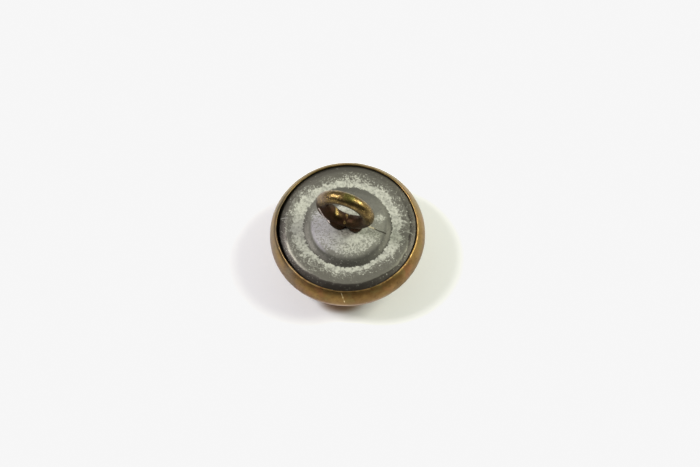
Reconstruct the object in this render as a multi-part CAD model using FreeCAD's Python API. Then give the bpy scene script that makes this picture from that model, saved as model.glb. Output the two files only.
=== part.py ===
"""Sew-on metal shank button: a domed brass front shell whose rim is curled over a stamped,
tinned steel back plate, with a brass wire loop that swivels in the plate's centre hole.

It lies on its domed front. The origin is the lowest point of the dome, +Z points up through
the back plate to the wire loop, and lengths are in millimetres.
"""

import FreeCAD
import Part

import math
import os

# ---- driving dimensions -------------------------------------------------------------------

BUTTON_DIA = 19.05  # 30 ligne
AIR = 0.03  # between neighbouring pieces that only rest on each other

# front shell
SHELL_SHEET = 0.2
EQUATOR_Z = 4.3  # height of the widest circle
EDGE_R = 1.2  # rounding from the dome into the widest circle
FLAT_DEPTH = 0.08  # taken off the dome's apex where the button rests
LIP_DIA = 17.2  # upper, outer corner of the lip
LIP_Z = 6.35

# back plate; the heights are those of its upper side
PLATE_SHEET = 0.35
PLATE_TOP_Z = 7.06  # at the edge of the centre hole
CROWN_Z = 7.01
CROWN_DIA = 6.0
PLATEAU_Z = 6.55
PLATEAU_DIA = 9.6
RING_FLAT_Z = 6.36
STEP_FOOT_DIA = 11.0
SHOULDER_DIA = 15.4
SHOULDER_SLOPE = 0.65  # drop per millimetre outwards
PLATE_DIA = 17.8
PLATE_BENDS = (6.0, 0.6, 0.4, 0.7)  # rounding of the crown, plateau edge, step foot and shoulder
PLATE_HOLE_R = 1.1

# wire loop
WIRE_R = 0.82
RING_R = 2.85  # to the middle of the wire
RING_RISE = 3.93  # middle of the ring above the plate's centre
RING_LEAN = 0.29  # sideways offset of the ring, which leans a little
LEG_R = 0.8  # the legs are drawn a little thinner than the ring
LEG_X = 0.82  # half the distance between the two legs
LEG_OVERLAP = 0.1  # how far a leg runs past the middle of the ring's wire
ROOT_X = 1.0  # the legs stand wider and thicker where they meet the plate
ROOT_R = 1.0
ROOT_TOP_R = 0.7
ROOT_HEIGHT = 1.2
NECK_R = 1.05  # the legs are pressed to half-rounds that turn in the plate's hole
FOOT_BEND_R = 0.85
FOOT_REACH = 3.1
FOOT_Z = 5.38
EYE_R = 2.05  # flat that the forming mandrel leaves inside the ring
LOOP_TURN_DEG = -19.5  # how the loop stands at rest

# clinch washer
WASHER_DIA = 7.0
WASHER_HOLE_DIA = 2.3
WASHER_TOP_Z = 6.48
WASHER_THICK = 0.25

# pasteboard filling
SPLIT_Z = 2.9  # boundary between the flat board and the domed pad
RECESS_DIA = 6.8  # pressed into the board by the feet of the loop
BOARD_TOP_DIA = 14.6
BOARD_EDGE = (8.65, 4.95)  # where the board's bevel, clear of the plate's shoulder, ends
BOARD_PLAY = 0.15  # between the board and the shell's wall

# ---- derived values -----------------------------------------------------------------------

BUTTON_R = BUTTON_DIA / 2
EDGE_X = BUTTON_R - EDGE_R
DOME_RISE = EQUATOR_Z + FLAT_DEPTH
DOME_R = (EDGE_X**2 + DOME_RISE**2 - EDGE_R**2) / (2 * (DOME_RISE - EDGE_R))
DOME_Z = DOME_R - FLAT_DEPTH
LIP_INSET = (BUTTON_DIA - LIP_DIA) / 2
LIP_RISE = LIP_Z - EQUATOR_Z
CURL_R = (LIP_INSET**2 + LIP_RISE**2) / (2 * LIP_INSET)
CURL_X = BUTTON_R - CURL_R
CURL_TURN = math.asin(LIP_RISE / CURL_R)
RING_Z = PLATE_TOP_Z + RING_RISE
WASHER_BASE_Z = WASHER_TOP_Z - WASHER_THICK

AXIS_Z = FreeCAD.Vector(0, 0, 1)
ORIGIN = FreeCAD.Vector(0, 0, 0)


def point(x, z):
    """A point of a section, which lies in the XZ plane."""
    return FreeCAD.Vector(x, 0, z)


def line(a, b):
    return Part.LineSegment(a, b).toShape()


def arc(centre, radius, start, end):
    """A circular arc from angle start to angle end, in radians from +X towards +Z."""

    def at(turn):
        return centre + point(radius * math.cos(turn), radius * math.sin(turn))

    return Part.Arc(at(start), at((start + end) / 2), at(end)).toShape()


def end_of(edge):
    return edge.valueAt(edge.LastParameter)


def rounded_path(corners, radii):
    """Straight runs through corners, with a tangent arc of the given radius at each inner one."""
    edges = []
    here = corners[0]
    for before, corner, after, radius in zip(corners, corners[1:], corners[2:], radii):
        back = (before - corner).normalize()
        ahead = (after - corner).normalize()
        half = back.getAngle(ahead) / 2
        cut = radius / math.tan(half)
        middle = (back + ahead).normalize()
        start = corner + back * cut
        end = corner + ahead * cut
        crown = corner + middle * (radius / math.sin(half) - radius)
        edges.append(line(here, start))
        edges.append(Part.Arc(start, crown, end).toShape())
        here = end
    edges.append(line(here, corners[-1]))
    return edges


def turned(edges):
    """The solid that a closed section makes when it is turned about Z."""
    face = Part.Face(Part.Wire(Part.__sortEdges__(edges)))
    return face.revolve(ORIGIN, AXIS_Z, 360)


# ---- pieces -------------------------------------------------------------------------------


def dome_arc(inset, end):
    """Section of the dome, inset from the outer one, from its flat out to the angle end."""
    radius = DOME_R - inset
    start = -math.asin((DOME_Z - inset) / radius)
    return arc(point(0, DOME_Z), radius, start, end)


def shell_skin(inset):
    """Section of the shell's surface, inset from the outer one, from the apex to the lip."""
    join = math.atan2(EQUATOR_Z - DOME_Z, EDGE_X)
    dome = dome_arc(inset, join)
    flat = line(point(0, inset), dome.valueAt(dome.FirstParameter))
    edge = arc(point(EDGE_X, EQUATOR_Z), EDGE_R - inset, join, 0)
    curl = arc(point(CURL_X, EQUATOR_Z), CURL_R - inset, 0, CURL_TURN)
    return [flat, dome, edge, curl]


def front_shell():
    """Drawn brass cup of even thickness, with its rim curled in over the back plate."""
    outer = shell_skin(0)
    inner = shell_skin(SHELL_SHEET)
    across_lip = line(end_of(outer[-1]), end_of(inner[-1]))
    on_axis = line(point(0, 0), point(0, SHELL_SHEET))
    return turned(outer + inner + [across_lip, on_axis])


def back_plate():
    """Stamped steel disc: crowned plateau, soft step, flat ring and a shoulder under the lip."""
    rim_x = PLATE_DIA / 2
    rim_z = RING_FLAT_Z - SHOULDER_SLOPE * (rim_x - SHOULDER_DIA / 2)
    corners = [
        point(PLATE_HOLE_R, PLATE_TOP_Z),
        point(CROWN_DIA / 2, CROWN_Z),
        point(PLATEAU_DIA / 2, PLATEAU_Z),
        point(STEP_FOOT_DIA / 2, RING_FLAT_Z),
        point(SHOULDER_DIA / 2, RING_FLAT_Z),
        point(rim_x, rim_z),
    ]
    upper_side = Part.Wire(rounded_path(corners, PLATE_BENDS))
    section = upper_side.makeOffset2D(-PLATE_SHEET, 0, True, True)
    return section.Faces[0].revolve(ORIGIN, AXIS_Z, 360)


def leg(side):
    """One end of the wire: a foot splayed sideways, a bend, and a leg up into the ring."""
    bend_x = LEG_X + FOOT_BEND_R
    bend = point(bend_x, FOOT_Z + FOOT_BEND_R)
    wire = Part.Wire([
        line(point(FOOT_REACH, FOOT_Z), point(bend_x, FOOT_Z)),
        arc(bend, FOOT_BEND_R, -math.pi / 2, -math.pi),
        line(point(LEG_X, bend.z), point(LEG_X, RING_Z - RING_R + LEG_OVERLAP)),
    ])
    start = Part.Circle(point(FOOT_REACH, FOOT_Z), FreeCAD.Vector(-1, 0, 0), LEG_R)
    rod = wire.makePipeShell([Part.Wire(start.toShape())], True, False)
    if side < 0:
        rod.rotate(ORIGIN, AXIS_Z, 180)
    return rod


def shank_loop():
    """A wire ring whose two ends meet, go down side by side and splay into feet.

    Above the plate the legs stand on thickened roots. They are pressed into a round neck where
    they pass through the plate and the washer, a hair's breadth of slit stays open between them,
    and the forming mandrel has left a flat inside the ring.
    """
    along = FreeCAD.Vector(0, 1, 0)
    ring_centre = point(-RING_LEAN, RING_Z)
    ring = Part.makeTorus(RING_R, WIRE_R, ring_centre, along)
    mandrel = Part.makeCylinder(EYE_R, 4 * WIRE_R, ring_centre - along * 2 * WIRE_R, along)

    pressed_z = WASHER_BASE_Z - AIR
    pressed = PLATE_TOP_Z + AIR - pressed_z
    around_neck = Part.makeCylinder(FOOT_REACH, pressed, point(0, pressed_z))
    around_neck = around_neck.cut(Part.makeCylinder(NECK_R, pressed, point(0, pressed_z)))
    neck_z = FOOT_Z + LEG_R / 2
    neck = Part.makeCylinder(NECK_R, PLATE_TOP_Z + AIR - neck_z, point(0, neck_z))

    def root(side):
        base = point(side * ROOT_X, PLATE_TOP_Z + AIR)
        return Part.makeCone(ROOT_R, ROOT_TOP_R, ROOT_HEIGHT, base)

    gap = 2 * (LEG_X - LEG_R)
    slit = Part.makeBox(gap, 2 * FOOT_REACH, RING_Z - neck_z)
    slit.translate(FreeCAD.Vector(-gap / 2, -FOOT_REACH, neck_z))

    wire = leg(1).fuse(leg(-1)).cut(around_neck).fuse(root(1)).fuse(root(-1))
    loop = wire.fuse(neck).fuse(ring).cut(slit).cut(mandrel).removeSplitter().Solids[0]
    loop.rotate(ORIGIN, AXIS_Z, LOOP_TURN_DEG)
    return loop


def clinch_washer():
    """Steel washer under the plate that the splayed feet bear against."""
    base = point(0, WASHER_BASE_Z)
    disc = Part.makeCylinder(WASHER_DIA / 2, WASHER_THICK, base)
    return disc.cut(Part.makeCylinder(WASHER_HOLE_DIA / 2, WASHER_THICK, base)).Solids[0]


def shell_inner_x(z):
    """Radius of the shell's inner surface at a height between the apex and the widest circle."""
    join_z = DOME_Z - DOME_R * (DOME_Z - EQUATOR_Z) / (DOME_R - EDGE_R)
    if z < join_z:
        return math.sqrt((DOME_R - SHELL_SHEET) ** 2 - (DOME_Z - z) ** 2)
    return EDGE_X + math.sqrt((EDGE_R - SHELL_SHEET) ** 2 - (EQUATOR_Z - z) ** 2)


def filler_board():
    """Flat pasteboard disc under the back plate, with the recess that the feet turn in."""
    recess_z = FOOT_Z - LEG_R - AIR
    top_z = RING_FLAT_Z - PLATE_SHEET - AIR
    corners = [
        point(0, SPLIT_Z),
        point(shell_inner_x(SPLIT_Z) - BOARD_PLAY, SPLIT_Z),
        point(shell_inner_x(EQUATOR_Z) - BOARD_PLAY, EQUATOR_Z),
        point(*BOARD_EDGE),
        point(BOARD_TOP_DIA / 2, top_z),
        point(RECESS_DIA / 2, top_z),
        point(RECESS_DIA / 2, recess_z),
        point(0, recess_z),
    ]
    return turned([line(a, b) for a, b in zip(corners, corners[1:] + corners[:1])])


def filler_pad():
    """Pad of pressed pasteboard that fills the dome below the flat board."""
    inset = SHELL_SHEET + AIR
    top_z = SPLIT_Z - AIR
    crown = dome_arc(inset, math.asin((top_z - DOME_Z) / (DOME_R - inset)))
    base = crown.valueAt(crown.FirstParameter)
    corners = [end_of(crown), point(0, top_z), point(0, inset), base]
    return turned([crown] + [line(a, b) for a, b in zip(corners, corners[1:])])


PIECES = {
    "front_shell": front_shell,
    "back_plate": back_plate,
    "shank_loop": shank_loop,
    "clinch_washer": clinch_washer,
    "filler_board": filler_board,
    "filler_pad": filler_pad,
}

os.makedirs("parts", exist_ok=True)
for name, make in PIECES.items():
    piece = make()
    print(name, "valid", piece.isValid(), "solids", len(piece.Solids), "volume", round(piece.Volume, 2))
    piece.exportStep(f"parts/{name}.step")
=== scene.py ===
"""Looks of a sew-on metal shank button that lies on its domed brass front, wire loop up.

Sizes are in millimetres until a mesh is made; the frame and every Blender object are in metres.
"""

import math

import bmesh
import bpy
import numpy as np
from mathutils import Matrix, Vector, noise


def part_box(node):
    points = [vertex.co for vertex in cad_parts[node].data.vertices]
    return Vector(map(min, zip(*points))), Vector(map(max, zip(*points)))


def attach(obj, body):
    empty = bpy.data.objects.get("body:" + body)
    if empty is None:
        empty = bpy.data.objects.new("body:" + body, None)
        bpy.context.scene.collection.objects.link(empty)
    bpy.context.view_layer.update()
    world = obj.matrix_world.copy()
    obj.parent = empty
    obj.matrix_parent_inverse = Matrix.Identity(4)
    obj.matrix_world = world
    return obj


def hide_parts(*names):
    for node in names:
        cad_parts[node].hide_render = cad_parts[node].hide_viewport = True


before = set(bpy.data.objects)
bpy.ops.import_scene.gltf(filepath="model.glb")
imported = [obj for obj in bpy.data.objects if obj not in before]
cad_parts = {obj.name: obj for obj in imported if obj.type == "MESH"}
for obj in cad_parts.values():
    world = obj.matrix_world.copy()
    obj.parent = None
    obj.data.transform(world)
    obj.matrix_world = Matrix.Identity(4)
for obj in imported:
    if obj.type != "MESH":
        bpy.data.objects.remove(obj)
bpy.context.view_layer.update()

MM = 0.001
TINY = 1e-6

# ---- sizes --------------------------------------------------------------------------------

shell_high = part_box("front_shell")[1] / MM
plate_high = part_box("back_plate")[1] / MM
loop_low, loop_high = (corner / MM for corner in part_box("shank_loop"))

BUTTON_R = shell_high.x
LIP_Z = shell_high.z
EQUATOR_Z = 4.3
EDGE_R = 1.2
FLAT_DEPTH = 0.08
SHELL_SHEET = 0.2
LIP_R = 8.67
OUT_OF_ROUND = 0.055
OUT_OF_ROUND_TURN = math.radians(38)
LIP_WANDER = 0.05
LIP_WANDER_TURN = math.radians(225)
LIP_PUSH = 0.14
LIP_PUSH_TURN = math.radians(176)
LIP_PUSH_SPREAD = 0.36
LIP_FLUTTER = 0.025
SHELL_DENT = 0.02

PLATE_R = plate_high.x
PLATE_TOP_Z = plate_high.z
PLATE_SHEET = 0.35
PLATE_HOLE_R = 1.1
PLATEAU_R = 4.8
PLATEAU_Z = 6.5
CROWN_R = 1.25 * PLATEAU_R
RING_FLAT_Z = 6.36
STEP_FOOT_R = 5.5
SHOULDER_R = 7.64
SHOULDER_SLOPE = 0.62
BEND_R = 8.45
BEND_SLOPE = 0.9
PLATE_TILT_TURN = math.radians(225)
PLATE_WARP = 0.05

WIRE_R = 0.82
RING_R = 2.85
RING_Z = loop_high.z - WIRE_R - RING_R
RING_LEAN = 0.29
RING_SWELL = 0.15
RING_SWELL_TURN = 222  # degrees round the ring, as is the spread
RING_SWELL_SPREAD = 24
SEAM_DEPTH = 0.08
SEAM_HALF = 0.08
LEG_R = 0.8
LEG_X = 0.82
ROOT_X = 1.0
NECK_R = 1.05
NECK_GAP = 0.012
NECK_LOW = 6.2
NECK_TOP = PLATE_TOP_Z + 0.03
ROOTS = {-1: (1.15, 1.25, 1.85), 1: (0.87, 0.35, 1.25)}  # side: radius, spread upwards, height
FOOT_BEND_R = 0.85
FOOT_REACH = 3.1
FOOT_Z = loop_low.z + LEG_R
LOOP_TURN = math.radians(-19.5)


# ---- mesh tools ---------------------------------------------------------------------------


def smoothstep(low, high, value):
    t = min(1.0, max(0.0, (value - low) / (high - low)))
    return t * t * (3 - 2 * t)


def ripple(x, y, z, size, seed):
    """Smooth noise from -1 to 1 whose features are about size millimetres across."""
    return noise.noise(Vector((x / size + seed, y / size - seed, z / size + 2 * seed)))


def arc_points(centre, radius, start, end, steps):
    """Points (across, up) along an arc, both ends included; angles in degrees."""
    turns = np.radians(np.linspace(start, end, steps + 1))
    return [(centre[0] + radius * math.cos(t), centre[1] + radius * math.sin(t)) for t in turns]


def joined(*runs):
    """One list of points from several runs, without the doubled points where they meet."""
    points = []
    for run in runs:
        for p in run:
            if not points or math.dist(points[-1], p) > TINY:
                points.append(p)
    return points


def added(name, data):
    """A new object, put in the scene."""
    thing = bpy.data.objects.new(name, data)
    bpy.context.scene.collection.objects.link(thing)
    return thing


def finish_piece(name, points, faces, body, nodes, material):
    """A mesh in metres from points in millimetres, riding on its body in place of CAD nodes."""
    mesh = bpy.data.meshes.new(name)
    mesh.from_pydata([tuple(c * MM for c in p) for p in points], [], faces)
    mesh.validate()
    skin = bmesh.new()
    skin.from_mesh(mesh)
    bmesh.ops.recalc_face_normals(skin, faces=skin.faces)
    skin.to_mesh(mesh)
    skin.free()
    mesh.polygons.foreach_set("use_smooth", [True] * len(mesh.polygons))
    mesh.materials.append(material)
    piece = added(name, mesh)
    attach(piece, body)
    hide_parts(*nodes)


def revolved(profile, segments, shape):
    """Points and faces of a profile turned about Z; profile points on the axis become poles.

    shape(across, up, angle) moves a point and returns its place (x, y, z).
    """
    points, faces, rings = [], [], []
    for across, up in profile:
        pole = across < TINY
        ring = []
        for k in range(1 if pole else segments):
            ring.append(len(points))
            points.append(shape(across, up, 2 * math.pi * k / segments))
        rings.append(ring)
    closed = profile[0][0] > TINY
    following = rings[1:] + rings[:1] if closed else rings[1:]
    for low, high in zip(rings, following):
        for k in range(segments):
            n = (k + 1) % segments
            corners = [low[k % len(low)], low[n % len(low)], high[n % len(high)], high[k % len(high)]]
            faces.append(list(dict.fromkeys(corners)))
    return points, faces


# ---- material tools -----------------------------------------------------------------------


def smooth_range(tree, low, high, to_low, to_high):
    """A node that rises smoothly from to_low at low to to_high at high."""
    node = tree.nodes.new("ShaderNodeMapRange")
    node.interpolation_type = "SMOOTHSTEP"
    numbers = ("From Min", low), ("From Max", high), ("To Min", to_low), ("To Max", to_high)
    for name, number in numbers:
        node.inputs[name].default_value = number
    return node


class Paint:
    """A procedural material: short names for the nodes that it is made of."""

    def __init__(self, name):
        self.material = bpy.data.materials.new(name)
        self.material.use_nodes = True
        self.tree = self.material.node_tree
        self.tree.nodes.clear()
        self.output = self.tree.nodes.new("ShaderNodeOutputMaterial")
        coordinates = self.tree.nodes.new("ShaderNodeTexCoord")
        self.place = self.vector("SCALE", coordinates.outputs["Object"], scale=1 / MM)

    def link(self, value, socket):
        """Feed a socket from another node, or set it to a plain number, vector or colour."""
        if isinstance(value, bpy.types.NodeSocket):
            self.tree.links.new(value, socket)
        else:
            socket.default_value = value

    def vector(self, operation, a, b=None, scale=None):
        node = self.tree.nodes.new("ShaderNodeVectorMath")
        node.operation = operation
        self.link(a, node.inputs[0])
        if b is not None:
            self.link(b, node.inputs[1])
        if scale is not None:
            self.link(scale, node.inputs["Scale"])
        return node.outputs["Value" if operation in ("LENGTH", "DISTANCE", "DOT_PRODUCT") else "Vector"]

    def math(self, operation, a, b, clamp=False):
        node = self.tree.nodes.new("ShaderNodeMath")
        node.operation = operation
        node.use_clamp = clamp
        self.link(a, node.inputs[0])
        self.link(b, node.inputs[1])
        return node.outputs[0]

    def product(self, *factors):
        total = factors[0]
        for factor in factors[1:]:
            total = self.math("MULTIPLY", total, factor)
        return total

    def plus(self, *terms):
        total = terms[0]
        for term in terms[1:]:
            total = self.math("ADD", total, term)
        return total

    def either(self, a, b):
        return self.math("MAXIMUM", a, b)

    def noise(self, size, detail, roughness=0.55, place=None, distortion=0.0):
        """Noise from 0 to 1 whose features are about size millimetres across."""
        node = self.tree.nodes.new("ShaderNodeTexNoise")
        self.link(place if place is not None else self.place, node.inputs["Vector"])
        node.inputs["Scale"].default_value = 1 / size
        node.inputs["Detail"].default_value = detail
        node.inputs["Roughness"].default_value = roughness
        node.inputs["Distortion"].default_value = distortion
        return node.outputs["Fac"]

    def step(self, value, low, high, to_low=0.0, to_high=1.0):
        """Smooth rise of value from to_low at low to to_high at high; low may be the larger."""
        if low > high:
            low, high, to_low, to_high = high, low, to_high, to_low
        node = smooth_range(self.tree, low, high, to_low, to_high)
        self.link(value, node.inputs["Value"])
        return node.outputs["Result"]

    def mix(self, factor, a, b):
        """Colour a at factor 0 and colour b at factor 1."""
        node = self.tree.nodes.new("ShaderNodeMix")
        node.data_type = "RGBA"
        self.link(factor, node.inputs["Factor"])
        colours = [s for s in node.inputs if s.type == "RGBA"]
        for colour, socket in ((a, colours[0]), (b, colours[1])):
            self.link(colour if isinstance(colour, bpy.types.NodeSocket) else (*colour, 1.0), socket)
        return next(s for s in node.outputs if s.type == "RGBA")

    def split(self):
        """The place's x, y and z."""
        node = self.tree.nodes.new("ShaderNodeSeparateXYZ")
        self.link(self.place, node.inputs[0])
        return node.outputs[0], node.outputs[1], node.outputs[2]

    def flat(self):
        """The place with its height taken out."""
        return self.vector("MULTIPLY", self.place, (1.0, 1.0, 0.0))

    def stroke(self, start, end, width, waver=0.0, place=None):
        """1 on a scratch from start to end, fading out over width millimetres."""
        start, end = Vector(start), Vector(end)
        run = end - start
        from_start = self.vector("SUBTRACT", place if place is not None else self.place, tuple(start))
        if waver:
            aside = Vector((0, 0, 1)).cross(run).normalized() * waver
            offset = self.vector("SCALE", tuple(aside), scale=self.noise(0.8, detail=2))
            from_start = self.vector("SUBTRACT", from_start, offset)
        share = self.vector("DOT_PRODUCT", from_start, tuple(run / run.length_squared))
        share = self.math("ADD", share, 0.0, clamp=True)
        nearest = self.vector("SCALE", tuple(run), scale=share)
        away = self.vector("DISTANCE", from_start, nearest)
        return self.step(away, width, width * 0.3)

    def bump(self, height, strength, depth):
        """Normal of a surface raised by height (0 to 1) times depth millimetres."""
        node = self.tree.nodes.new("ShaderNodeBump")
        node.inputs["Strength"].default_value = strength
        node.inputs["Distance"].default_value = depth * MM
        self.link(height, node.inputs["Height"])
        return node.outputs["Normal"]

    def shade(self, colour, metallic, roughness, normal=None, **constants):
        """The finished material; constants are further inputs of its surface, by name."""
        shader = self.tree.nodes.new("ShaderNodeBsdfPrincipled")
        self.link(colour, shader.inputs["Base Color"])
        self.link(metallic, shader.inputs["Metallic"])
        self.link(roughness, shader.inputs["Roughness"])
        if normal is not None:
            self.link(normal, shader.inputs["Normal"])
        for name, number in constants.items():
            shader.inputs[name.replace("_", " ")].default_value = number
        self.link(shader.outputs[0], self.output.inputs["Surface"])
        return self.material


# ---- materials ----------------------------------------------------------------------------


def tarnished_brass():
    """Brass of the shell: brown tarnish in soft clouds, a worn lip, hazy whitish clouds and a long
    scratch, with painted light: floor reflections, a lip highlight, shade in the lip's gap and a
    lighter far side.
    """
    p = Paint("tarnished_brass")
    x, y, z = p.split()
    cloud = p.noise(3.4, detail=3, roughness=0.5)
    fleck = p.noise(0.45, detail=5, roughness=0.65)
    grain = p.noise(0.09, detail=3, roughness=0.6)
    tarnish = p.step(p.plus(cloud, p.product(fleck, 0.35)), 0.45, 0.86)
    colour = p.mix(tarnish, (0.26, 0.16, 0.052), (0.15, 0.08, 0.024))
    copper = p.step(p.noise(2.1, detail=2), 0.52, 0.68)
    colour = p.mix(p.product(copper, 0.5), colour, (0.27, 0.115, 0.05))
    olive = p.step(p.noise(1.7, detail=2, distortion=0.4), 0.54, 0.68)
    colour = p.mix(p.product(olive, 0.45), colour, (0.20, 0.16, 0.055))
    # Whitish hazy clouds, weighted to the left side, where they also stand for a painted reflection of
    # the pale floor.
    haze_and_reflection = p.step(p.plus(p.product(x, -0.1), p.product(cloud, 1.2)), 1.0, 1.7)
    colour = p.mix(p.product(haze_and_reflection, 0.45), colour, (0.30, 0.26, 0.21))
    # Painted light: the rim turns lighter and yellower towards the far side.
    colour = p.mix(p.step(y, -2.0, 6.0, to_high=0.4), colour, (0.22, 0.185, 0.075))
    lip = p.product(p.step(z, LIP_Z - 0.24, LIP_Z - 0.08), p.step(p.noise(0.9, detail=2), 0.40, 0.64))
    colour = p.mix(p.product(lip, 0.25), colour, (0.42, 0.26, 0.10))
    # Painted highlight: a thin bright line along the top of the lip, on the near half only and weaker
    # straight in front.
    lip_highlight = p.product(p.step(z, LIP_Z - 0.07, LIP_Z - 0.01), p.step(y, 2.5, -1.5))
    lip_highlight = p.product(lip_highlight, p.step(y, -8.4, -6.4, to_low=0.4))
    lip_highlight = p.product(lip_highlight, p.step(p.noise(0.7, detail=3), 0.42, 0.60))
    colour = p.mix(p.product(lip_highlight, 0.3), colour, (0.85, 0.55, 0.22))
    # Painted shade: the lip's top darkens on the left, where the gap under it lies in shade.
    lip_gap_shade = p.product(p.step(z, LIP_Z - 0.3, LIP_Z - 0.1), p.step(x, -6.5, -8.0))
    colour = p.mix(p.product(lip_gap_shade, 0.7), colour, (0.05, 0.035, 0.02))
    # Painted reflection of the pale floor: a pinkish light band below the rim's widest point, on the
    # near side.
    under = p.product(p.step(z, EQUATOR_Z + 0.3, EQUATOR_Z - 0.1), p.step(y, -6.5, -8.5))
    colour = p.mix(p.product(under, 0.5), colour, (0.45, 0.33, 0.27))
    middle = -0.60, -9.12, 5.70
    scratch = p.either(
        p.stroke((-0.78, -8.77, 6.22), middle, 0.09, waver=0.1),
        p.stroke(middle, (-0.39, -9.40, 5.07), 0.08, waver=0.1),
    )
    colour = p.mix(scratch, colour, (0.95, 0.78, 0.45))
    dirt = p.product(p.step(fleck, 0.58, 0.72), 0.45)
    colour = p.mix(dirt, colour, (0.06, 0.035, 0.018))
    roughness = p.plus(0.30, p.product(tarnish, 0.12), p.product(grain, 0.14))
    height = p.plus(p.product(fleck, 0.5), p.product(grain, 0.35), p.product(scratch, -0.8))
    return p.shade(colour, 0.96, roughness, p.bump(height, 0.3, 0.02))


def loop_brass():
    """Brass of the wire: near-black patina inside and low down, worn olive gold on top, and painted
    highlights: glints and a pale line along the left leg.
    """
    p = Paint("loop_brass")
    turn = Matrix.Rotation(LOOP_TURN, 3, "Z")

    def spot(across, aside, up):
        return tuple(turn @ Vector((across, aside, up)))

    outward = p.vector("DISTANCE", p.place, spot(-RING_LEAN, 0, RING_Z))
    across = p.vector("DOT_PRODUCT", p.place, spot(1, 0, 0))
    z = p.split()[2]
    cloud = p.noise(1.1, detail=3)
    patch = p.noise(0.55, detail=3, roughness=0.6)
    fleck = p.noise(0.22, detail=5, roughness=0.65)
    grain = p.noise(0.06, detail=3)

    worn = p.step(p.plus(outward, p.product(cloud, 1.2)), 3.0, 3.8)
    height = p.plus(z, p.product(across, 0.22), p.product(cloud, 0.7))
    worn = p.product(worn, p.step(height, RING_Z - 0.2, RING_Z + 1.0))
    gold = p.mix(p.step(patch, 0.36, 0.56), (0.21, 0.145, 0.055), (0.12, 0.078, 0.028))
    olive = p.step(p.vector("DISTANCE", p.place, spot(0.2, 0.1, 14.6)), 0.9, 0.5)
    gold = p.mix(p.product(olive, 0.65), gold, (0.16, 0.155, 0.035))
    # Pinkish brown, more towards the left end of the loop.
    pinker_leftward = p.step(p.plus(p.product(across, -0.22), p.noise(0.8, detail=2)), 0.85, 1.35)
    gold = p.mix(p.product(pinker_leftward, 0.6), gold, (0.22, 0.165, 0.13))
    dark = p.mix(p.step(cloud, 0.40, 0.62), (0.042, 0.024, 0.010), (0.062, 0.030, 0.016))
    colour = p.mix(worn, dark, gold)
    colour = p.mix(p.product(p.step(fleck, 0.54, 0.70), worn, 0.5), colour, (0.04, 0.024, 0.01))
    # Painted highlights: gold glints scattered on the worn top, one inside the left leg and one where
    # the two legs meet.
    sparkle = p.product(p.step(p.noise(0.16, detail=2), 0.60, 0.68), worn, 0.75)
    ragged = p.step(p.noise(0.3, detail=4), 0.38, 0.56)
    inside = p.stroke(spot(-1.80, 0.50, 9.35), spot(-1.52, -0.15, 9.30), 0.32, waver=0.3)
    seam = p.stroke(spot(-0.42, 0.46, 8.83), spot(-0.30, -0.65, 8.62), 0.21, waver=0.3)
    low_highlights = p.either(p.product(inside, ragged, 0.75), p.product(seam, ragged, 0.6))
    bright = p.either(sparkle, low_highlights)
    colour = p.mix(bright, colour, (0.60, 0.42, 0.15))
    # Painted highlight: a thin pale line, not metallic, along the outer edge of the left leg.
    middle = spot(-2.70, -0.94, 9.15)
    edge_highlight = p.either(
        p.stroke(spot(-3.34, -0.80, 10.69), middle, 0.2, waver=0.15),
        p.stroke(middle, spot(-1.95, -1.00, 8.15), 0.2, waver=0.15),
    )
    edge_highlight = p.product(edge_highlight, p.step(fleck, 0.28, 0.42))
    colour = p.mix(edge_highlight, colour, (0.90, 0.77, 0.70))
    roughness = p.plus(0.40, p.product(worn, -0.16), p.product(patch, 0.12), p.product(grain, 0.12))
    relief = p.plus(p.product(patch, 0.8), p.product(fleck, 0.5), p.product(grain, 0.2))
    relief = p.product(relief, p.plus(0.45, p.product(worn, 0.55)))
    metallic = p.step(edge_highlight, 0.8, 0.0, to_high=0.96)
    return p.shade(colour, metallic, roughness, p.bump(relief, 0.55, 0.04))


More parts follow.
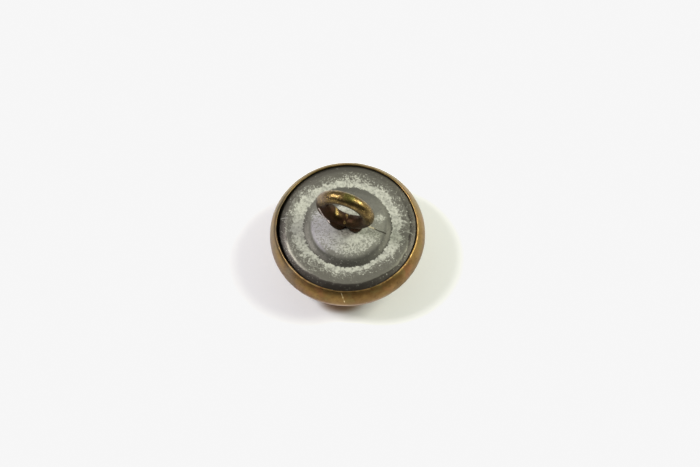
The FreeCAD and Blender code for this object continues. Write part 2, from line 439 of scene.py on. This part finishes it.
def tinned_steel():
    """Tinned back plate: dull grey metal with a speckled white bloom round the step, painted shade on
    the shoulder and on the step's near slope, and a painted glint inside the step.
    """
    p = Paint("tinned_steel")
    x, y = p.split()[:2]
    r = p.vector("LENGTH", p.flat())
    broad = p.noise(2.6, detail=2)
    ragged = p.noise(0.9, detail=3, roughness=0.55)
    mottle = p.noise(0.34, detail=3, roughness=0.6)
    speck = p.noise(0.18, detail=3, roughness=0.65)
    grain = p.noise(0.06, detail=2)

    squashed = p.vector("LENGTH", p.vector("MULTIPLY", p.place, (0.955, 1.0, 0.0)))
    jagged = p.plus(squashed, p.product(p.plus(ragged, -0.5), 1.6), p.product(p.plus(broad, -0.5), 1.2))
    far = p.step(p.plus(y, p.product(x, 0.3)), -6.0, 4.0)
    jagged = p.plus(jagged, p.product(far, -0.45), p.product(p.step(x, -3.5, -6.0), -0.4))
    outward = p.plus(p.step(jagged, 6.1, 5.6, to_high=0.40), p.step(jagged, 7.4, 5.7, to_high=0.45))
    foot = p.plus(r, p.product(p.plus(mottle, -0.5), 0.5))
    ring = p.product(p.step(foot, STEP_FOOT_R - 0.22, STEP_FOOT_R + 0.06), outward)
    leftmost = p.product(p.step(x, -1.2, -3.6), 0.5)
    toward_front = p.plus(p.product(y, -0.7), p.product(x, -0.25), leftmost)
    toward_front = p.plus(toward_front, p.product(broad, 1.6), p.product(ragged, 1.2))
    inside = p.step(p.plus(r, p.product(p.plus(ragged, -0.5), 1.2), p.product(y, -0.13)), 4.85, 4.0)
    patch = p.vector("DISTANCE", p.flat(), (3.9, 1.0, 0.0))
    patch = p.product(p.step(p.plus(patch, ragged), 1.5, 0.9), 0.6)
    stem = p.product(p.step(p.plus(r, ragged), 3.6, 2.8), 0.8)
    centre = p.either(p.product(inside, p.step(toward_front, 0.3, 1.9), 0.62), stem)
    density = p.either(ring, p.either(centre, patch))
    texture = p.plus(p.product(speck, 0.7), p.product(mottle, 0.3))
    bloom = p.step(p.plus(texture, p.product(density, 0.32)), 0.57, 0.74)

    metal = p.mix(p.step(r, 7.0, 4.5), (0.165, 0.158, 0.13), (0.20, 0.195, 0.165))
    metal = p.mix(p.product(p.step(mottle, 0.45, 0.65), 0.3), metal, (0.12, 0.115, 0.09))
    # Painted shade on the shoulder under the lip: darkest at the sides, a little lighter straight in
    # front, lightest at the far side.
    early = p.plus(p.step(y, -3.0, -1.2), p.step(y, -5.0, -6.5))
    shoulder = p.step(p.plus(r, p.product(ragged, 0.3), p.product(early, 0.2)), 7.84, 8.0)
    shoulder_shade = p.mix(p.step(y, -5.0, -8.0), (0.035, 0.031, 0.027), (0.10, 0.088, 0.074))
    shoulder_shade = p.mix(p.step(y, -0.5, 6.0), shoulder_shade, (0.17, 0.16, 0.13))
    metal = p.mix(p.product(shoulder, 0.96), metal, shoulder_shade)
    # Painted shade on the step's slope, on the near half only.
    step_in = p.step(p.plus(r, p.product(y, -0.08)), 4.35, 5.05)
    slope = p.product(step_in, p.step(r, 5.7, 5.4), p.step(y, 3.5, 0.5))
    metal = p.mix(p.product(slope, 0.78), metal, (0.045, 0.042, 0.036))
    leftward = p.vector("DOT_PRODUCT", p.place, (-0.93, -0.36, 0.0))
    glint = p.product(p.step(r, 3.9, 4.2), p.step(r, 4.6, 4.3), p.step(leftward, 3.5, 4.1))
    metal = p.mix(p.product(glint, 0.6), metal, (0.36, 0.34, 0.37))
    white = p.mix(p.step(mottle, 0.35, 0.65), (0.26, 0.26, 0.22), (0.40, 0.40, 0.335))
    cool = p.product(p.step(x, 0.0, -3.5), p.step(r, 4.9, 4.4))
    white = p.mix(p.product(cool, 0.8), white, (0.39, 0.375, 0.39))
    crack = p.stroke((3.2, -0.60, 0), (4.55, -1.12, 0), 0.12, waver=0.3, place=p.flat())
    burr = p.stroke((2.5, -0.32, 0), (3.3, -0.62, 0), 0.13, waver=0.3, place=p.flat())
    colour = p.mix(bloom, metal, white)
    # Browner and darker round the foot of the loop.
    browner_middle = p.step(p.plus(r, p.product(ragged, 0.9)), 2.5, 1.7)
    colour = p.mix(p.product(browner_middle, 0.4), colour, (0.10, 0.075, 0.045))
    colour = p.mix(p.product(burr, 0.8), colour, (0.55, 0.47, 0.30))
    colour = p.mix(p.product(crack, 0.85), colour, (0.03, 0.026, 0.02))
    hairline = p.stroke((0.12, 6.25, 0), (0.24, 5.5, 0), 0.07, waver=0.1, place=p.flat())
    colour = p.mix(p.product(hairline, 0.6), colour, (0.08, 0.075, 0.065))
    nick = p.stroke((-8.2, 1.25, 0), (-7.3, 1.17, 0), 0.07, waver=0.1, place=p.flat())
    colour = p.mix(p.product(nick, 0.6), colour, (0.40, 0.40, 0.36))

    metallic = p.step(bloom, 1.0, 0.1, to_high=0.95)
    roughness = p.plus(0.42, p.product(bloom, 0.4), p.product(grain, 0.14), p.product(shoulder, -0.10))
    height = p.plus(p.product(bloom, 0.5), p.product(speck, 0.4), p.product(grain, 0.2))
    height = p.plus(height, p.product(crack, -1.0))
    return p.shade(colour, metallic, roughness, p.bump(height, 0.5, 0.025))


def washer_steel():
    """Raw steel of the washer, with thin rust along its edges."""
    p = Paint("washer_steel")
    rust = p.step(p.noise(0.5, detail=5, roughness=0.65), 0.52, 0.66)
    grain = p.noise(0.07, detail=3)
    colour = p.mix(rust, (0.34, 0.33, 0.31), (0.20, 0.085, 0.035))
    roughness = p.plus(0.35, p.product(rust, 0.4))
    height = p.plus(rust, p.product(grain, 0.4))
    return p.shade(colour, p.step(rust, 0.8, 0.2), roughness, p.bump(height, 0.4, 0.02))


def pasteboard(name, light, dark):
    """Pressed grey-brown board: flat layers, short fibres and damp stains."""
    p = Paint(name)
    layers = p.noise(0.5, detail=3, place=p.vector("MULTIPLY", p.place, (0.25, 0.25, 5.0)))
    fibre = p.noise(0.16, detail=5, roughness=0.7, distortion=1.5)
    damp = p.noise(3.0, detail=3)
    colour = p.mix(p.step(p.plus(layers, p.product(fibre, 0.5)), 0.5, 1.0), dark, light)
    colour = p.mix(p.product(p.step(damp, 0.5, 0.65), 0.4), colour, (0.12, 0.08, 0.045))
    height = p.plus(p.product(layers, 0.6), p.product(fibre, 0.5))
    return p.shade(colour, 0.0, 0.9, p.bump(height, 0.6, 0.05))


def floor_paint():
    """Near-white matt paper with a faint tooth, and a painted patch of shadow and brown light from the
    brass close in front.
    """
    p = Paint("floor_paper")
    tooth = p.noise(0.5, detail=2)
    colour = p.mix(tooth, (0.86, 0.86, 0.865), (0.88, 0.88, 0.885))
    # Painted shadow and brown light from the brass: a dark brown patch just in front of the button.
    narrowed = p.vector("MULTIPLY", p.place, (0.5, 1.0, 0.0))
    away = p.vector("DISTANCE", narrowed, (-0.4, -7.4, 0.0))
    colour = p.mix(p.step(away, 1.6, 0.7), colour, (0.49, 0.36, 0.27))
    return p.shade(colour, 0.0, 0.75, Specular_IOR_Level=0.1)


# ---- pieces -------------------------------------------------------------------------------


def front_shell(material):
    """Drawn brass cup: dome, rounded rim curled in to an uneven lip, and its inner side.

    The dome is part of a sphere. It meets the rounded rim smoothly and is flat at its apex.
    """
    edge_x = BUTTON_R - EDGE_R
    dome_rise = EQUATOR_Z + FLAT_DEPTH
    dome_r = (edge_x**2 + dome_rise**2 - EDGE_R**2) / (2 * (dome_rise - EDGE_R))
    dome_z = dome_r - FLAT_DEPTH
    join = math.degrees(math.atan2(EQUATOR_Z - dome_z, edge_x))
    rise, inset = LIP_Z - EQUATOR_Z, BUTTON_R - LIP_R
    curl_r = (inset**2 + rise**2) / (2 * inset)
    curl_x = BUTTON_R - curl_r
    curl_turn = math.asin(rise / curl_r)
    half = SHELL_SHEET / 2
    reach = curl_r - half
    lip = curl_x + reach * math.cos(curl_turn), EQUATOR_Z + reach * math.sin(curl_turn)

    def skin(inward):
        start = -math.degrees(math.asin((dome_z - inward) / (dome_r - inward)))
        return joined(
            [(0.0, inward), (0.5, inward), (1.0, inward)],
            arc_points((0, dome_z), dome_r - inward, start, join, 40),
            arc_points((edge_x, EQUATOR_Z), EDGE_R - inward, join, 0, 12),
            arc_points((curl_x, EQUATOR_Z), curl_r - inward, 0, math.degrees(curl_turn), 18),
        )

    round_lip = arc_points(lip, half, math.degrees(curl_turn), math.degrees(curl_turn) + 180, 8)
    profile = joined(skin(0), round_lip, skin(SHELL_SHEET)[::-1])

    def shape(across, up, angle):
        x, y = math.cos(angle), math.sin(angle)
        rim = 8 * x, 8 * y, 0
        near_lip = smoothstep(EQUATOR_Z + 0.2, LIP_Z, up) if across > LIP_R - 1 else 0.0
        out_of_round = OUT_OF_ROUND * math.cos(2 * (angle - OUT_OF_ROUND_TURN)) * across / BUTTON_R
        wander = LIP_WANDER * math.cos(angle - LIP_WANDER_TURN) + 0.04 * ripple(*rim, 3.0, 5)
        wander += LIP_PUSH * math.exp(-(((angle - LIP_PUSH_TURN) / LIP_PUSH_SPREAD) ** 2))
        flutter = LIP_FLUTTER * ripple(*rim, 0.9, 9)
        dent = abs(ripple(across * x, across * y, up, 3.5, 3)) * SHELL_DENT * smoothstep(2, 6, across)
        across += out_of_round + near_lip * (wander + flutter) - dent
        up += near_lip * LIP_WANDER * ripple(*rim, 2.4, 14)
        return across * x, across * y, up

    points, faces = revolved(profile, segments=360, shape=shape)
    nodes = ["front_shell"]
    finish_piece("front_shell_brass", points, faces, "button", nodes, material)


def plate_height(r, sag=1.0):
    """Height of the plate's upper side at radius r: crown, soft step, flat ring and shoulder.

    sag scales the shoulder's slope, since the plate sits deeper at one side.
    """

    def ramp(start, slope, soft):
        beyond = r - start
        return slope * (beyond + math.sqrt(beyond**2 + soft**2)) / 2

    crown = (PLATE_TOP_Z - PLATEAU_Z) * smoothstep(PLATE_HOLE_R, CROWN_R, r)
    step = (PLATEAU_Z - RING_FLAT_Z) * smoothstep(PLATEAU_R - 0.15, STEP_FOOT_R, r)
    shoulder = ramp(SHOULDER_R, sag * SHOULDER_SLOPE, 0.25) + ramp(BEND_R, BEND_SLOPE, 0.1)
    return PLATE_TOP_Z - crown - step - shoulder


def back_plate(material):
    """Stamped plate: crowned middle, soft step, ring, shoulder under the lip, and its hole."""
    radii = np.concatenate([
        np.linspace(PLATE_HOLE_R + 0.005, 4.5, 30),
        np.linspace(4.58, 5.8, 18),
        np.linspace(5.9, 7.4, 14),
        np.linspace(7.48, PLATE_R, 24),
    ])
    upper = [(r, plate_height(r)) for r in radii]
    lower = []
    for r, z in upper[::-3]:
        lower.append((r - 0.2 * PLATE_SHEET * smoothstep(7.4, 8.0, r), z - PLATE_SHEET))
    hole_mid = plate_height(PLATE_HOLE_R) - PLATE_SHEET / 2
    hole = [(PLATE_HOLE_R, hole_mid - 0.08), (PLATE_HOLE_R, hole_mid + 0.08)]
    profile = upper + lower + hole

    def shape(across, up, angle):
        x, y = across * math.cos(angle), across * math.sin(angle)
        sag = 0.75 + 0.35 * math.cos(angle - PLATE_TILT_TURN)
        up += plate_height(across, sag) - plate_height(across)
        warp = PLATE_WARP * ripple(x, y, 0, 5.0, 21) + 0.018 * ripple(x, y, 0, 1.4, 8)
        pits = 0.006 * ripple(x, y, 0, 0.3, 2)
        return x, y, up + (warp + pits) * smoothstep(PLATE_HOLE_R, 3, across)

    points, faces = revolved(profile, segments=420, shape=shape)
    nodes = ["back_plate"]
    finish_piece("back_plate_tinned", points, faces, "button", nodes, material)


def rod(stations, closed, shape):
    """Points and faces of a round rod through stations (across, up, heading, radius).

    Stations lie in the loop's own plane, and shape(middle, radial, radius) places a point. A rod
    that is not closed on itself gets a fan of faces over each end.
    """
    around = 44
    turn = Matrix.Rotation(LOOP_TURN, 3, "Z")
    points, faces = [], []
    for across, up, heading, radius in stations:
        outward = Vector((math.sin(heading), 0, -math.cos(heading)))
        for k in range(around):
            t = 2 * math.pi * k / around
            radial = outward * math.cos(t) + Vector((0, math.sin(t), 0))
            points.append(turn @ shape(Vector((across, 0, up)), radial, radius))
    count = len(stations)
    for s in range(count if closed else count - 1):
        here, there = s * around, (s + 1) % count * around
        for k in range(around):
            n = (k + 1) % around
            faces.append([here + k, here + n, there + n, there + k])
    if not closed:
        for s in (0, count - 1):
            across, up, heading, radius = stations[s]
            points.append(turn @ Vector((across, 0, up)))
            for k in range(around):
                faces.append([len(points) - 1, s * around + k, s * around + (k + 1) % around])
    return points, faces


def shank_ring(material):
    """The wire bent to a ring whose ends meet at the bottom, a little uneven in thickness."""
    centre = Vector((-RING_LEAN, 0, RING_Z))
    wide = np.linspace(-80, 260, 180)[:-1]
    fine = np.linspace(260, 280, 40)[:-1]
    stations = []
    for turn in np.concatenate([wide, fine]):
        t = math.radians(turn)
        swell = RING_SWELL * math.exp(-(((turn - RING_SWELL_TURN) / RING_SWELL_SPREAD) ** 2))
        middle = centre.x + RING_R * math.cos(t), centre.z + RING_R * math.sin(t)
        stations.append((*middle, t + math.pi / 2, WIRE_R + swell))

    def skin(middle, radial, radius):
        on = middle + radial * radius
        uneven = 0.022 * ripple(*on, 1.6, 4) + 0.012 * ripple(*on, 0.5, 12)
        inner = RING_R - 0.55 * WIRE_R - (on - centre).length
        flat = 0.03 * smoothstep(0.0, 0.35, inner)
        seam = SEAM_DEPTH * math.exp(-((on.x / SEAM_HALF) ** 2)) if on.z < RING_Z else 0.0
        return on + radial * (uneven - flat - seam)

    points, faces = rod(stations, closed=True, shape=skin)
    finish_piece("shank_ring", points, faces, "shank", ["shank_loop"], material)


def shank_leg(side, name, material):
    """One end of the wire: rounded foot, bend, pressed neck and a thick root inside the ring."""
    bend_x, bend_z = LEG_X + FOOT_BEND_R, FOOT_Z + FOOT_BEND_R
    thick, spread, height = ROOTS[side]
    cut = [(0.0, 0.5), (0.06, 0.78), (0.18, 0.94), (0.32, 1.0)]
    stations = [(side * (FOOT_REACH - inset), FOOT_Z, 0.0, LEG_R * share) for inset, share in cut]
    stations += [(side * x, FOOT_Z, 0.0, LEG_R) for x in np.linspace(FOOT_REACH - 0.5, bend_x, 8)]
    for t in np.linspace(10, 90, 9):
        t = math.radians(t)
        across = bend_x - FOOT_BEND_R * math.sin(t)
        stations.append((side * across, bend_z - FOOT_BEND_R * math.cos(t), -side * t, LEG_R))
    upright = -side * math.pi / 2
    for z in np.linspace(bend_z + 0.03, NECK_TOP - 0.01, 14):
        stations.append((side * LEG_X, z, upright, LEG_R))
    # The root swells from a slight waist and rounds off towards its top.
    for t in np.linspace(0, 1, 18):
        radius = thick * math.sqrt(1 - 0.85 * t**3) * (1 - 0.1 * math.exp(-t / 0.08))
        across = side * (ROOT_X + spread * t)
        stations.append((across, NECK_TOP + 0.01 + height * t, upright, radius))

    def skin(middle, radial, radius):
        on = middle + radial * radius
        # In the plate's hole the leg is pressed in to the neck.
        if NECK_LOW < on.z < NECK_TOP:
            across = Vector((on.x, on.y, 0))
            return on - across * (1 - min(1.0, (NECK_R - 0.02) / across.length))
        above = smoothstep(NECK_TOP, NECK_TOP + 0.6, on.z)
        return on + radial * above * (0.03 * ripple(*on, 0.9, 31) + 0.012 * ripple(*on, 0.3, 6))

    points, faces = rod(stations, closed=False, shape=skin)
    finish_piece(name, points, faces, "shank", ["shank_loop"], material)


def shank_neck(material):
    """The round neck of the two legs, close in the plate's hole and as grey as the plate."""
    radius = PLATE_HOLE_R - NECK_GAP
    low = FOOT_Z + LEG_R / 2
    profile = [(0.0, low), (0.5, low), (radius - 0.05, low), (radius, low + 0.05)]
    profile += [(radius, z) for z in np.linspace(low + 0.2, NECK_TOP - 0.06, 8)]
    profile += [(radius - 0.01, NECK_TOP - 0.03), (radius - 0.05, NECK_TOP)]
    profile += [(0.6, NECK_TOP), (0.0, NECK_TOP)]

    def shape(across, up, angle):
        x, y = across * math.cos(angle), across * math.sin(angle)
        return x, y, up + 0.015 * ripple(x, y, 0, 0.4, 17) * smoothstep(radius, 0.5, across)

    points, faces = revolved(profile, segments=96, shape=shape)
    finish_piece("shank_neck", points, faces, "shank", ["shank_loop"], material)


def cad_piece(node, material):
    """A CAD node that keeps its shape and gets a material of its own."""
    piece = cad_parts[node]
    piece.data.materials.clear()
    piece.data.materials.append(material)


# ---- stage --------------------------------------------------------------------------------


def floor():
    size = 0.6
    mesh = bpy.data.meshes.new("floor")
    corners = [(-size, -size, 0), (size, -size, 0), (size, size, 0), (-size, size, 0)]
    mesh.from_pydata(corners, [], [(0, 1, 2, 3)])
    mesh.materials.append(floor_paint())
    added("floor", mesh)


def soft_light(name, azimuth, elevation, size, energy, colour):
    """A round soft box that looks at the button; azimuth 0 is +X and 90 is +Y."""
    distance = 0.45
    light = bpy.data.lights.new(name, "AREA")
    light.shape = "DISK"
    light.size = size
    light.energy = energy
    light.color = colour
    a, e = math.radians(azimuth), math.radians(elevation)
    way = Vector((math.cos(a) * math.cos(e), math.sin(a) * math.cos(e), math.sin(e)))
    lamp = added(name, light)
    lamp.location = way * distance + Vector((0, 0, EQUATOR_Z * MM))
    lamp.rotation_euler = way.to_track_quat("Z", "Y").to_euler()


def surroundings():
    """Plain grey room, light overhead and behind, dark low in front and around the camera."""
    world = bpy.data.worlds.new("room")
    world.use_nodes = True
    tree = world.node_tree
    background = tree.nodes["Background"]
    coordinates = tree.nodes.new("ShaderNodeTexCoord")

    def fall(direction, low, high, to_low, to_high):
        facing = tree.nodes.new("ShaderNodeVectorMath")
        facing.operation = "DOT_PRODUCT"
        facing.inputs[1].default_value = direction
        change = smooth_range(tree, low, high, to_low, to_high)
        tree.links.new(coordinates.outputs["Generated"], facing.inputs[0])
        tree.links.new(facing.outputs["Value"], change.inputs["Value"])
        return change.outputs["Result"]

    both = tree.nodes.new("ShaderNodeMath")
    both.operation = "MULTIPLY"
    up_and_behind, to_camera = (0.0, 0.62, 0.785), (0.0, -0.423, 0.906)
    bright = fall(up_and_behind, -0.1, 0.9, to_low=0.02, to_high=0.48)
    dimmed = fall(to_camera, 0.62, 0.93, to_low=1.0, to_high=0.2)
    tree.links.new(bright, both.inputs[0])
    tree.links.new(dimmed, both.inputs[1])
    tree.links.new(both.outputs[0], background.inputs["Strength"])
    background.inputs["Color"].default_value = (1.0, 1.0, 1.0, 1.0)
    bpy.context.scene.world = world


def white_point():
    """Whites level off just under full white, as on pale paper."""
    brightest = 0.925
    view = bpy.context.scene.view_settings
    view.view_transform = "Standard"
    view.use_curve_mapping = True
    curve = view.curve_mapping.curves[3]
    curve.points[1].location = (1.0, brightest)
    view.curve_mapping.extend = "HORIZONTAL"
    view.curve_mapping.update()


def camera():
    """Long lens from 65 degrees above, with the button a little left of the middle."""
    lens = bpy.data.cameras.new("camera")
    lens.lens = 100
    lens.sensor_width = 36
    lens.clip_start = 0.01
    eye = added("camera", lens)
    rise, distance = math.radians(65), 0.239
    away = Vector((0, -math.cos(rise), math.sin(rise)))
    target = Vector((0.30, 0.07, EQUATOR_Z)) * MM
    eye.location = target + away * distance
    eye.rotation_euler = away.to_track_quat("Z", "Y").to_euler()
    bpy.context.scene.camera = eye


floor()
surroundings()
soft_light("light_left", 170, 45, size=0.16, energy=2.16, colour=(1.0, 0.975, 0.99))
soft_light("light_right", 13, 38, size=0.28, energy=2.56, colour=(0.97, 1.0, 0.86))
camera()

front_shell(tarnished_brass())
tinned = tinned_steel()
back_plate(tinned)
wire = loop_brass()
shank_ring(wire)
shank_leg(-1, "shank_leg_left", wire)
shank_leg(1, "shank_leg_right", wire)
shank_neck(tinned)
cad_piece("clinch_washer", washer_steel())
flat_board = pasteboard("pasteboard_flat", (0.36, 0.27, 0.17), (0.22, 0.16, 0.10))
domed_board = pasteboard("pasteboard_pad", (0.31, 0.24, 0.16), (0.19, 0.14, 0.09))
cad_piece("filler_board", flat_board)
cad_piece("filler_pad", domed_board)

white_point()
